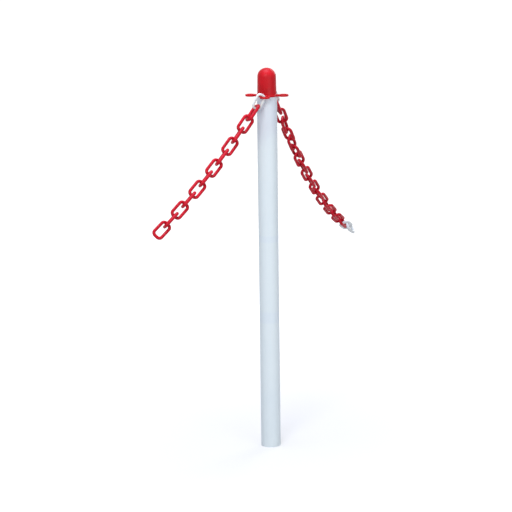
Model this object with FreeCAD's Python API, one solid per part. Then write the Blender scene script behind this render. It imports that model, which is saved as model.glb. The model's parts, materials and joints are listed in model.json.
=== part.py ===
import FreeCAD, Part
import math
import os

from FreeCAD import Vector

# Millimetres. The origin is the centre of the tube's foot, +Z is up, the front eyelet faces -Y
# and the two chains leave to the left (-X, forward) and to the right (+X, backward).

# Post tube: extruded pipe with plain saw-cut ends
tube_diameter = 50.0
tube_wall = 2.5
tube_length = 900.0

# Eyelet cap: one hollow moulding, a spigot below the flange and a domed hub above it
spigot_clearance = 0.2      # on the radius, inside the tube
spigot_length = 40.0
spigot_lead_in = 1.2        # chamfer that starts the spigot into the tube
cap_wall = 2.5
core_draft = 0.3            # degrees, inside of the hub and spigot
flange_thickness = 5.0
flange_overhang = 1.5       # flange disc past the tube
hub_step = 1.0              # hub inside the tube's outer face
hub_draft = 1.1             # degrees, outside of the hub
hub_height = 66.0           # flange top to the crown of the dome
crown_flatness = 2.5        # crown radius beyond the hub's radius
knuckle_inset = 2.5         # centre of the shoulder's round, from the axis
hub_root_round = 1.2

# Eyelets: four round ears of the flange, each on a short neck
eyelet_count = 4
eyelet_turn = 7.0           # degrees that the ears sit turned clockwise, seen from above
eye_reach = 16.0            # tube face to the centre of the eye
eye_play = 5.0              # eye edge to the wire of a connector in its middle
rim_width = 5.0
rim_edge_round = 1.0
neck_width = 14.0
neck_round = 2.0            # corners of the neck, on the ear and on the flange disc

# Chain links: round wire bent to a rounded rectangle
link_wire = 8.0
link_inner_width = 15.0
link_corner = 8.5           # on the centre line
link_pitch = 36.0
link_gap = 0.3              # play between two hooked bars

# Connectors: snap links of the same make, split across one side bar
connector_wire = 6.0
connector_inner_width = 13.5
connector_inner_length = 30.0
connector_corner = 7.0      # on the centre line
connector_play = 0.8        # on the rim and on the first link
split_width = 0.8
split_slant = 35.0          # degrees off square to the bar

# Left chain, from the front eyelet. Headings are degrees from +X towards +Y. A chain hangs in a
# catenary: its slope falls evenly with the run of chain, from the post to the lowest point. Rolls turn
# the loops about the run of chain, as (loop number, degrees), with even steps in between.
left_eyelet = 3             # counted from the +X eyelet towards +Y
left_ring_heading = 190.0   # side of the eye that the connector hangs on
left_connector_slope = 64.0
left_heading = 225.0
left_low_run = 1175.0       # run of chain from the post to the lowest point
left_sag_length = 1200.0    # catenary constant
left_red_count = 12
left_white_count = 0
left_rolls = ((0, -10.0), (1, 20.0), (2, 33.0))

# Right chain, from the back eyelet, with a quarter turn of twist in its upper half
right_eyelet = 1
right_ring_heading = 42.0
right_connector_slope = 62.0
right_heading = 68.0
right_low_run = 1050.0
right_sag_length = 870.0
right_red_count = 18
right_white_count = 2
right_rolls = (
    (0, 20.0), (1, 48.0), (2, 62.0), (3, 80.0), (4, 97.0), (5, 95.0), (6, 112.0), (7, 114.0),
    (8, 132.0), (9, 124.0), (10, 132.0), (11, 116.0), (12, 124.0), (14, 150.0),
)

tube_radius = tube_diameter / 2
bore_radius = tube_radius - tube_wall
spigot_radius = bore_radius - spigot_clearance
spigot_foot = tube_length - spigot_length
flange_top = tube_length + flange_thickness
flange_middle = tube_length + flange_thickness / 2
cap_top = flange_top + hub_height
hub_radius = tube_radius - hub_step
eye_radius = connector_wire / 2 + eye_play
ear_radius = eye_radius + rim_width
eye_distance = tube_radius + eye_reach
rim_middle = eye_radius + rim_width / 2
link_half_length = (link_pitch + link_wire + link_gap) / 2
link_half_width = (link_inner_width + link_wire) / 2
connector_half_length = (connector_inner_length + connector_wire) / 2
connector_half_width = (connector_inner_width + connector_wire) / 2


def polar(distance, degrees, height):
    angle = math.radians(degrees)
    return Vector(distance * math.cos(angle), distance * math.sin(angle), height)


def post_tube():
    return Part.makeCylinder(tube_radius, tube_length).cut(Part.makeCylinder(bore_radius, tube_length))


# A drafted wall that closes in a dome of two tangent rounds: a tight shoulder and a flat crown
def domed_profile(base_radius, base_height, top, draft_degrees, crown, knuckle):
    draft = math.radians(draft_degrees)
    normal = Vector(math.cos(draft), 0, math.sin(draft))
    crown_centre = Vector(0, 0, top - crown)
    base = Vector(base_radius, 0, base_height)
    reach = (base - crown_centre).dot(normal) - knuckle
    lean = math.asin(reach / (crown - knuckle)) - draft
    lean_way = Vector(math.sin(lean), 0, math.cos(lean))
    knuckle_centre = crown_centre + lean_way * (crown - knuckle)
    half_way = (normal + lean_way).normalize()
    half_crown = Vector(math.sin(lean / 2), 0, math.cos(lean / 2))
    wall_end = knuckle_centre + normal * knuckle
    shoulder_end = crown_centre + lean_way * crown
    tip = Vector(0, 0, top)
    return [
        Part.makeLine(base, wall_end),
        Part.Arc(wall_end, knuckle_centre + half_way * knuckle, shoulder_end).toShape(),
        Part.Arc(shoulder_end, crown_centre + half_crown * crown, tip).toShape(),
    ]


def domed_solid(base_radius, base_height, top, draft_degrees, crown, knuckle):
    edges = domed_profile(base_radius, base_height, top, draft_degrees, crown, knuckle)
    foot = Vector(0, 0, base_height)
    edges.append(Part.makeLine(Vector(0, 0, top), foot))
    edges.append(Part.makeLine(foot, Vector(base_radius, 0, base_height)))
    face = Part.Face(Part.Wire(edges))
    return face.revolve(Vector(0, 0, 0), Vector(0, 0, 1), 360)


def eye_angle(number):
    return number * 360.0 / eyelet_count - eyelet_turn


def upright(edge):
    return edge.BoundBox.ZLength > flange_thickness / 2


def axis_distance(edge):
    return math.hypot(edge.CenterOfMass.x, edge.CenterOfMass.y)


def flange():
    foot = Vector(0, 0, tube_length)
    disc_radius = tube_radius + flange_overhang
    plate = Part.makeCylinder(disc_radius, flange_thickness, foot)
    for number in range(eyelet_count):
        ear = Part.makeBox(eye_distance, neck_width, flange_thickness)
        ear.translate(Vector(0, -neck_width / 2, tube_length))
        ear = ear.fuse(Part.makeCylinder(ear_radius, flange_thickness, foot + Vector(eye_distance, 0, 0)))
        ear.rotate(foot, Vector(0, 0, 1), eye_angle(number))
        plate = plate.fuse(ear)
    plate = plate.removeSplitter()
    corners = [e for e in plate.Edges if upright(e) and axis_distance(e) < eye_distance]
    plate = plate.makeFillet(neck_round, corners)
    for number in range(eyelet_count):
        eye_foot = polar(eye_distance, eye_angle(number), tube_length)
        plate = plate.cut(Part.makeCylinder(eye_radius, flange_thickness, eye_foot))
    return plate.makeFillet(rim_edge_round, [e for e in plate.Edges if not upright(e)])


def hub():
    return domed_solid(
        hub_radius, flange_top, cap_top, hub_draft, hub_radius + crown_flatness, hub_radius - knuckle_inset
    )


def spigot():
    plug = Part.makeCylinder(spigot_radius, spigot_length, Vector(0, 0, spigot_foot))
    foot_edges = [e for e in plug.Edges if e.BoundBox.ZMax < spigot_foot + spigot_length / 2]
    return plug.makeChamfer(spigot_lead_in, foot_edges)


# The hollow of the cap, open at the spigot's foot and narrowing upwards
def cap_core():
    core_radius = spigot_radius - cap_wall
    return domed_solid(
        core_radius, spigot_foot, cap_top - cap_wall, core_draft,
        core_radius + crown_flatness, core_radius - knuckle_inset
    )


def eyelet_cap():
    body = flange().fuse([hub(), spigot()]).removeSplitter()
    root = [
        e for e in body.Edges
        if abs(e.CenterOfMass.z - flange_top) < 0.01 and abs(e.BoundBox.XLength - 2 * hub_radius) < 0.1
    ]
    return body.makeFillet(hub_root_round, root).cut(cap_core())


# A closed loop of round wire about the origin: X runs along it, Y across it
def wire_loop(half_length, half_width, corner, wire):
    long_end = half_length - corner
    wide_end = half_width - corner
    edges = []
    for turn, (x, y) in enumerate(((1, 1), (-1, 1), (-1, -1), (1, -1))):
        centre = Vector(x * long_end, y * wide_end, 0)
        start = centre + polar(corner, 90 * turn, 0)
        middle = centre + polar(corner, 90 * turn + 45, 0)
        end = centre + polar(corner, 90 * turn + 90, 0)
        edges.append(Part.Arc(start, middle, end).toShape())
    bars = []
    for turn in range(4):
        bars.append(Part.makeLine(edges[turn].Vertexes[-1].Point, edges[(turn + 1) % 4].Vertexes[0].Point))
    path = Part.Wire([piece for pair in zip(edges, bars) for piece in pair])
    start = edges[0].Vertexes[0].Point
    section = Part.Face(Part.Wire(Part.makeCircle(wire / 2, start, Vector(0, 1, 0))))
    return path.makePipe(section)


def chain_link():
    return wire_loop(link_half_length, link_half_width, link_corner, link_wire)


def snap_link():
    loop = wire_loop(connector_half_length, connector_half_width, connector_corner, connector_wire)
    split = Part.makeBox(split_width, 2 * connector_wire, 2 * connector_wire)
    split.translate(Vector(-split_width / 2, -connector_wire, -connector_wire))
    split.rotate(Vector(0, 0, 0), Vector(0, 0, 1), split_slant)
    split.translate(Vector(0, connector_half_width, 0))
    return loop.cut(split)


# Along, level and rising directions of a loop that heads and slopes down so
def hang_axes(heading, slope):
    level_way = polar(1, heading, 0)
    angle = math.radians(slope)
    along = level_way * math.cos(angle) - Vector(0, 0, 1) * math.sin(angle)
    side = Vector(0, 0, 1).cross(level_way)
    return along, side, along.cross(side)


# Width direction of a loop: every second one is a quarter turn further round the chain
def across_way(heading, slope, roll, number):
    along, side, rising = hang_axes(heading, slope)
    angle = math.radians(roll + (90 if number % 2 == 0 else 0))
    return side * math.cos(angle) + rising * math.sin(angle)


def roll_at(number, rolls):
    for (first, first_roll), (last, last_roll) in zip(rolls, rolls[1:]):
        if number <= last:
            return first_roll + (last_roll - first_roll) * (number - first) / (last - first)
    return rolls[-1][1]


def placed(shape, centre, along, across):
    normal = along.cross(across)
    frame = FreeCAD.Matrix(
        along.x, across.x, normal.x, centre.x,
        along.y, across.y, normal.y, centre.y,
        along.z, across.z, normal.z, centre.z,
        0, 0, 0, 1,
    )
    copy = shape.copy()
    copy.Placement = FreeCAD.Placement(frame)
    return copy


# Circle that the rim of an eyelet turns in, whichever way a connector hangs on it
def rim_reach():
    flat = rim_width / 2 - rim_edge_round
    tall = flange_thickness / 2 - rim_edge_round
    return math.hypot(flat, tall) + rim_edge_round


# Where the loops of a chain hang, as (name, centre, along, across): the connector on the rim of its
# eyelet, then each link hooked over the end bar of the loop before it
def chain_frames(
    side, eyelet, ring_heading, connector_slope, heading, low_run, sag_length, red_count, white_count, rolls
):
    eye = polar(eye_distance, eye_angle(eyelet), flange_middle)
    rim = eye + polar(rim_middle, ring_heading, 0)
    along = hang_axes(ring_heading, connector_slope)[0]
    across = across_way(ring_heading, connector_slope, roll_at(0, rolls), 0)
    seat = rim_reach() + connector_play + connector_wire / 2
    centre = rim + along * (connector_half_length - seat)
    frames = [(side + "_connector", centre, along, across)]
    end_bar = centre + along * connector_half_length
    hook = (connector_wire + link_wire) / 2 + connector_play
    for number in range(1, red_count + white_count + 1):
        slope = math.degrees(math.atan2(low_run - (number - 0.5) * link_pitch, sag_length))
        along = hang_axes(heading, slope)[0]
        across = across_way(heading, slope, roll_at(number, rolls), number)
        centre = end_bar + along * (link_half_length - hook)
        name = f"{side}_link_{number:02d}"
        if number > red_count:
            name = f"{side}_white_link_{number - red_count:02d}"
        frames.append((name, centre, along, across))
        end_bar = centre + along * link_half_length
        hook = link_wire + link_gap
    return frames


def left_frames():
    return chain_frames(
        "left", left_eyelet, left_ring_heading, left_connector_slope, left_heading, left_low_run,
        left_sag_length, left_red_count, left_white_count, left_rolls
    )


def right_frames():
    return chain_frames(
        "right", right_eyelet, right_ring_heading, right_connector_slope, right_heading, right_low_run,
        right_sag_length, right_red_count, right_white_count, right_rolls
    )


def chains():
    link = chain_link()
    connector = snap_link()
    pieces = []
    for frames in (left_frames(), right_frames()):
        for number, (name, centre, along, across) in enumerate(frames):
            pieces.append((name, placed(link if number else connector, centre, along, across)))
    return pieces


os.makedirs("parts", exist_ok=True)
for node, shape in [("post_tube", post_tube()), ("eyelet_cap", eyelet_cap())] + chains():
    shape.exportStep(f"parts/{node}.step")
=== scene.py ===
import json
import math

import bpy
from mathutils import Matrix, Vector

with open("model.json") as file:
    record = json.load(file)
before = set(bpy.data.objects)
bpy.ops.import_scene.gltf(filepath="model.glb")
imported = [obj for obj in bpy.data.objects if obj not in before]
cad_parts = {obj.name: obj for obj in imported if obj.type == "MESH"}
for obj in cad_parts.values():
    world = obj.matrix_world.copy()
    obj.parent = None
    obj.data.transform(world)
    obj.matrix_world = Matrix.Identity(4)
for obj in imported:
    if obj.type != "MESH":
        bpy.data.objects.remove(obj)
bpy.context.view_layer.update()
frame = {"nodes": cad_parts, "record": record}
cadNodes = frame["nodes"]
mm = 0.001
print("frame loaded:", len(cadNodes), "pieces")


def hexToLinear(text):
    # sRGB hex to the linear colour that a shader socket takes
    channels = [int(text[i:i + 2], 16) / 255 for i in (1, 3, 5)]
    return tuple(c / 12.92 if c <= 0.04045 else ((c + 0.055) / 1.055) ** 2.4 for c in channels) + (1,)


def addNode(tree, kind, inputs=None, **settings):
    # one shader node: settings are its own properties, inputs are values or the sockets that feed it
    node = tree.nodes.new("ShaderNode" + kind)
    for name, value in settings.items():
        setattr(node, name, value)
    for name, value in (inputs or {}).items():
        if isinstance(value, bpy.types.NodeSocket):
            tree.links.new(value, node.inputs[name])
        else:
            node.inputs[name].default_value = value
    return node


def newMaterial(name):
    material = bpy.data.materials.new(name)
    material.use_nodes = True
    material.node_tree.nodes.clear()
    return material, material.node_tree


def perMetre(sizeMm):
    # noise scale whose features measure sizeMm
    return 1 / (sizeMm * mm)


# uPVC pipe, extruded: even and slightly blue white with a soft gloss, fine lines from the die
# along the pipe, two faint bluish bands, and on the stretch under the cap a painted shadow of
# the cap's flange, duller and more lavender
pipe = {
    # the third colour is painted shadow under the cap's flange, not a tone of the pipe
    "cool": "#D5E0E6", "pale": "#DAE4E8", "paintedFlangeShadow": "#D2DAE3", "banded": "#C8D6E8",
    "dieLineMm": 3.0,       # real lines are under 1 mm, drawn coarser to show
    "lineRunMm": 400.0, "lineDetail": 3.0, "lineBreakUp": 0.6, "lineDepthMm": 0.05, "lineStrength": 0.3,
    "cloudMm": 90.0, "cloudDetail": 4.0, "cloudBreakUp": 0.55,
    "lineShare": 0.35,      # of the lines in the change of tone, the rest is clouds
    "spread": (0.3, 0.7),   # stretch of the noise over which tone and gloss change
    "shadeFrom": 0.80, "shadeTo": 0.85,    # heights in metres
    "shadeSlant": -0.6, "shadeUnevenM": 0.05,
    "bands": ((0.542, 0.011), (0.340, 0.019)),    # middle and half height of each, in metres
    "bandDepth": 0.2,
    "roughness": (0.38, 0.5), "ior": 1.53, "gloss": 0.25,
}


def extrudedUpvc():
    material, tree = newMaterial("extrudedUpvc")
    place = addNode(tree, "TexCoord").outputs["Object"]
    drawnOut = (1, 1, pipe["dieLineMm"] / pipe["lineRunMm"])
    stretched = addNode(tree, "Mapping", {"Vector": place, "Scale": drawnOut}).outputs["Vector"]
    lines = addNode(tree, "TexNoise", {
        "Vector": stretched, "Scale": perMetre(pipe["dieLineMm"]),
        "Detail": pipe["lineDetail"], "Roughness": pipe["lineBreakUp"],
    }).outputs["Fac"]
    clouds = addNode(tree, "TexNoise", {
        "Vector": place, "Scale": perMetre(pipe["cloudMm"]),
        "Detail": pipe["cloudDetail"], "Roughness": pipe["cloudBreakUp"],
    }).outputs["Fac"]
    mixed = addNode(tree, "Mix", {
        "Factor": pipe["lineShare"], "A": clouds, "B": lines,
    }, data_type="FLOAT").outputs["Result"]
    change = addNode(tree, "MapRange", {
        "Value": mixed, "From Min": pipe["spread"][0], "From Max": pipe["spread"][1],
    }).outputs["Result"]
    colour = addNode(tree, "Mix", {
        "Factor": change, "A": hexToLinear(pipe["cool"]), "B": hexToLinear(pipe["pale"]),
    }, data_type="RGBA").outputs["Result"]

    # painted shadow of the cap's flange on the pipe top: it begins on a slant, a little uneven
    axes = addNode(tree, "SeparateXYZ", {"Vector": place}).outputs
    slant = addNode(tree, "Math", {
        0: axes["X"], 1: pipe["shadeSlant"], 2: axes["Z"],
    }, operation="MULTIPLY_ADD").outputs[0]
    uneven = addNode(tree, "Math", {
        0: clouds, 1: pipe["shadeUnevenM"], 2: slant,
    }, operation="MULTIPLY_ADD").outputs[0]
    # where the painted shadow of the flange lies
    paintedShadowMask = addNode(tree, "MapRange", {
        "Value": uneven, "From Min": pipe["shadeFrom"], "From Max": pipe["shadeTo"],
    }, interpolation_type="SMOOTHSTEP").outputs["Result"]
    colour = addNode(tree, "Mix", {
        "Factor": paintedShadowMask, "A": colour, "B": hexToLinear(pipe["paintedFlangeShadow"]),
    }, data_type="RGBA").outputs["Result"]

    for middle, half in pipe["bands"]:
        offset = addNode(tree, "Math", {0: axes["Z"], 1: middle}, operation="SUBTRACT").outputs[0]
        away = addNode(tree, "Math", {0: offset}, operation="ABSOLUTE").outputs[0]
        band = addNode(tree, "MapRange", {
            "Value": away, "From Min": half, "From Max": half / 2, "To Max": pipe["bandDepth"],
        }, interpolation_type="SMOOTHSTEP").outputs["Result"]
        colour = addNode(tree, "Mix", {
            "Factor": band, "A": colour, "B": hexToLinear(pipe["banded"]),
        }, data_type="RGBA").outputs["Result"]

    roughness = addNode(tree, "MapRange", {
        "Value": change, "To Min": pipe["roughness"][0], "To Max": pipe["roughness"][1],
    }).outputs["Result"]
    bump = addNode(tree, "Bump", {
        "Height": lines, "Strength": pipe["lineStrength"], "Distance": pipe["lineDepthMm"] * mm,
    }).outputs["Normal"]
    shader = addNode(tree, "BsdfPrincipled", {
        "Base Color": colour, "Roughness": roughness, "IOR": pipe["ior"],
        "Specular IOR Level": pipe["gloss"], "Normal": bump,
    })
    addNode(tree, "OutputMaterial", {"Surface": shader.outputs["BSDF"]})
    return material


# Polyethylene, injection moulded: satin, a little waxy, with slow flow marks and a fine grain from the tool
moulding = {
    "flowDetail": 3.0, "flowBreakUp": 0.5, "flowWarp": 0.6,
    "grainMm": 1.2,         # tool grain is about 0.2 mm, drawn coarser to show
    "grainDetail": 2.0, "grainBreakUp": 0.5, "grainStrength": 0.25,
    "grainShare": 0.3,      # of the grain in the change of tone, the rest is flow marks
    "spread": (0.3, 0.7), "ior": 1.51,
}
# cap
red = {
    "deep": "#A80A15", "bright": "#C61521", "flowMm": 30.0,
    "grainDepthMm": 0.08, "roughness": (0.32, 0.52), "gloss": 0.16,
}
# links, from a smoother tool and of a slightly more crimson red
chain = {
    "deep": "#A80C1E", "bright": "#C6172B", "flowMm": 30.0,
    "grainDepthMm": 0.05, "roughness": (0.28, 0.46), "gloss": 0.13,
}
# connectors and the two end links
white = {
    "deep": "#CED2D3", "bright": "#DDE0E0", "flowMm": 25.0,
    "grainDepthMm": 0.05, "roughness": (0.3, 0.5), "gloss": 0.35,
}


def mouldedPolyethylene(name, look):
    material, tree = newMaterial(name)
    place = addNode(tree, "TexCoord").outputs["Object"]
    flow = addNode(tree, "TexNoise", {
        "Vector": place, "Scale": perMetre(look["flowMm"]), "Detail": moulding["flowDetail"],
        "Roughness": moulding["flowBreakUp"], "Distortion": moulding["flowWarp"],
    }).outputs["Fac"]
    grain = addNode(tree, "TexNoise", {
        "Vector": place, "Scale": perMetre(moulding["grainMm"]),
        "Detail": moulding["grainDetail"], "Roughness": moulding["grainBreakUp"],
    }).outputs["Fac"]
    mixed = addNode(tree, "Mix", {
        "Factor": moulding["grainShare"], "A": flow, "B": grain,
    }, data_type="FLOAT").outputs["Result"]
    change = addNode(tree, "MapRange", {
        "Value": mixed, "From Min": moulding["spread"][0], "From Max": moulding["spread"][1],
    }).outputs["Result"]
    colour = addNode(tree, "Mix", {
        "Factor": change, "A": hexToLinear(look["deep"]), "B": hexToLinear(look["bright"]),
    }, data_type="RGBA").outputs["Result"]
    roughness = addNode(tree, "MapRange", {
        "Value": change, "To Min": look["roughness"][0], "To Max": look["roughness"][1],
    }).outputs["Result"]
    bump = addNode(tree, "Bump", {
        "Height": grain, "Strength": moulding["grainStrength"], "Distance": look["grainDepthMm"] * mm,
    }).outputs["Normal"]
    shader = addNode(tree, "BsdfPrincipled", {
        "Base Color": colour, "Roughness": roughness, "IOR": moulding["ior"],
        "Specular IOR Level": look["gloss"], "Normal": bump,
    })
    addNode(tree, "OutputMaterial", {"Surface": shader.outputs["BSDF"]})
    return material


finishes = {
    "white_upvc": extrudedUpvc(),
    "red_polyethylene": mouldedPolyethylene("mouldedRedPolyethylene", red),
    "white_polyethylene": mouldedPolyethylene("mouldedWhitePolyethylene", white),
}
polishedLink = mouldedPolyethylene("polishedRedPolyethylene", chain)
for part in frame["record"]["subparts"]:
    piece = cadNodes[part["node"]]
    redLink = part["material_slot"] == "red_polyethylene" and "link" in part["node"]
    piece.data.materials.clear()
    piece.data.materials.append(polishedLink if redLink else finishes[part["material_slot"]])
print("materials on", len(cadNodes), "pieces")


# Studio: a pale floor, a soft light from the upper left, a bluish one overhead, weak ones from the
# right and from behind, and even light all round
studio = {
    "floorHalfM": 40.0, "floorGrey": 0.5, "fibreMm": 4.0, "fibreChange": 0.02,
    "glowNear": 0.4, "glowFar": 0.9, "nearM": 0.15, "farM": 1.8,
    "worldLight": 0.42, "worldColour": "#F6F8FC", "aim": (0, 0, 0.6),
    "key": {"place": (-0.9, -3.3, 2.5), "size": 1.6, "watts": 68.0, "colour": "#FFFFFF"},
    "top": {"place": (-0.15, -0.1, 2.8), "size": 1.3, "watts": 50.0, "colour": "#DCE5FF"},
    "fill": {"place": (1.8, -3.0, 0.9), "size": 2.4, "watts": 32.0, "colour": "#FFFFFF"},
    "back": {"place": (1.5, 2.4, 2.0), "size": 1.8, "watts": 26.0, "colour": "#FFFFFF"},
}


def seesBackground(tree):
    # 1 for rays that should meet white: from the camera, off a glossy surface or through a clear one
    rays = addNode(tree, "LightPath").outputs
    seen = rays["Is Camera Ray"]
    for other in ("Is Glossy Ray", "Is Transmission Ray"):
        seen = addNode(tree, "Math", {0: seen, 1: rays[other]}, operation="MAXIMUM").outputs[0]
    return seen


def paperFloor():
    # matt paper that the camera and reflections see near white, with the shadow of the post left in it
    material, tree = newMaterial("mattPaper")
    place = addNode(tree, "TexCoord").outputs["Object"]
    # the lamps reach less of the floor further out, so it glows more there
    away = addNode(tree, "VectorMath", {0: place}, operation="LENGTH").outputs["Value"]
    level = addNode(tree, "MapRange", {
        "Value": away, "From Min": studio["nearM"], "From Max": studio["farM"],
        "To Min": studio["glowNear"], "To Max": studio["glowFar"],
    }, interpolation_type="SMOOTHSTEP").outputs["Result"]
    glow = addNode(tree, "Math", {0: seesBackground(tree), 1: level}, operation="MULTIPLY").outputs[0]
    light = addNode(tree, "Emission", {"Color": (1, 1, 1, 1), "Strength": glow})
    fibre = addNode(tree, "TexNoise", {
        "Vector": place, "Scale": perMetre(studio["fibreMm"]),
    }).outputs["Fac"]
    grey = addNode(tree, "MapRange", {
        "Value": fibre,
        "To Min": studio["floorGrey"] * (1 - studio["fibreChange"]),
        "To Max": studio["floorGrey"] * (1 + studio["fibreChange"]),
    }).outputs["Result"]
    matt = addNode(tree, "BsdfDiffuse", {"Color": grey})
    both = addNode(tree, "AddShader", {0: matt.outputs["BSDF"], 1: light.outputs["Emission"]})
    addNode(tree, "OutputMaterial", {"Surface": both.outputs["Shader"]})
    return material


def layFloor():
    mesh = bpy.data.meshes.new("floor")
    half = studio["floorHalfM"]
    corners = [(-half, -half, 0), (half, -half, 0), (half, half, 0), (-half, half, 0)]
    mesh.from_pydata(corners, [], [(0, 1, 2, 3)])
    floor = bpy.data.objects.new("floor", mesh)
    bpy.context.scene.collection.objects.link(floor)
    mesh.materials.append(paperFloor())


def lightWorld():
    world = bpy.data.worlds.new("studioWorld")
    world.use_nodes = True
    tree = world.node_tree
    tree.nodes.clear()
    soft = addNode(tree, "Background", {
        "Color": hexToLinear(studio["worldColour"]), "Strength": studio["worldLight"],
    })
    plain = addNode(tree, "Background", {"Color": (1, 1, 1, 1), "Strength": 1.0})
    both = addNode(tree, "MixShader", {
        0: seesBackground(tree), 1: soft.outputs["Background"], 2: plain.outputs["Background"],
    })
    addNode(tree, "OutputWorld", {"Surface": both.outputs["Shader"]})
    bpy.context.scene.world = world


def addSoftbox(name, softbox):
    lamp = bpy.data.lights.new(name, "AREA")
    lamp.shape = "DISK"
    lamp.size = softbox["size"]
    lamp.energy = softbox["watts"]
    lamp.color = hexToLinear(softbox["colour"])[:3]
    box = bpy.data.objects.new(name, lamp)
    box.location = softbox["place"]
    box.rotation_euler = (Vector(studio["aim"]) - box.location).to_track_quat("-Z", "Y").to_euler()
    bpy.context.scene.collection.objects.link(box)


layFloor()
lightWorld()
for light in ("key", "top", "fill", "back"):
    addSoftbox(light + "Softbox", studio[light])
print("studio ready")


# Camera: a long lens from slightly above, framed off centre and leaning a little as in the photograph
view = {
    "place": (0, -5.05, 1.593), "aim": (-0.0322, 0, 0.4956), "lensMm": 144.36, "sensorMm": 36.0,
    "leanDegrees": -0.763,
}


def placeCamera():
    lens = bpy.data.cameras.new("camera")
    lens.lens = view["lensMm"]
    lens.sensor_width = view["sensorMm"]
    camera = bpy.data.objects.new("camera", lens)
    camera.location = view["place"]
    look = (Vector(view["aim"]) - camera.location).to_track_quat("-Z", "Y")
    lean = Matrix.Rotation(math.radians(view["leanDegrees"]), 3, "Z").to_quaternion()
    camera.rotation_euler = (look @ lean).to_euler()
    bpy.context.scene.collection.objects.link(camera)
    bpy.context.scene.camera = camera


placeCamera()
bpy.context.scene.view_settings.view_transform = "Standard"
print("camera placed")
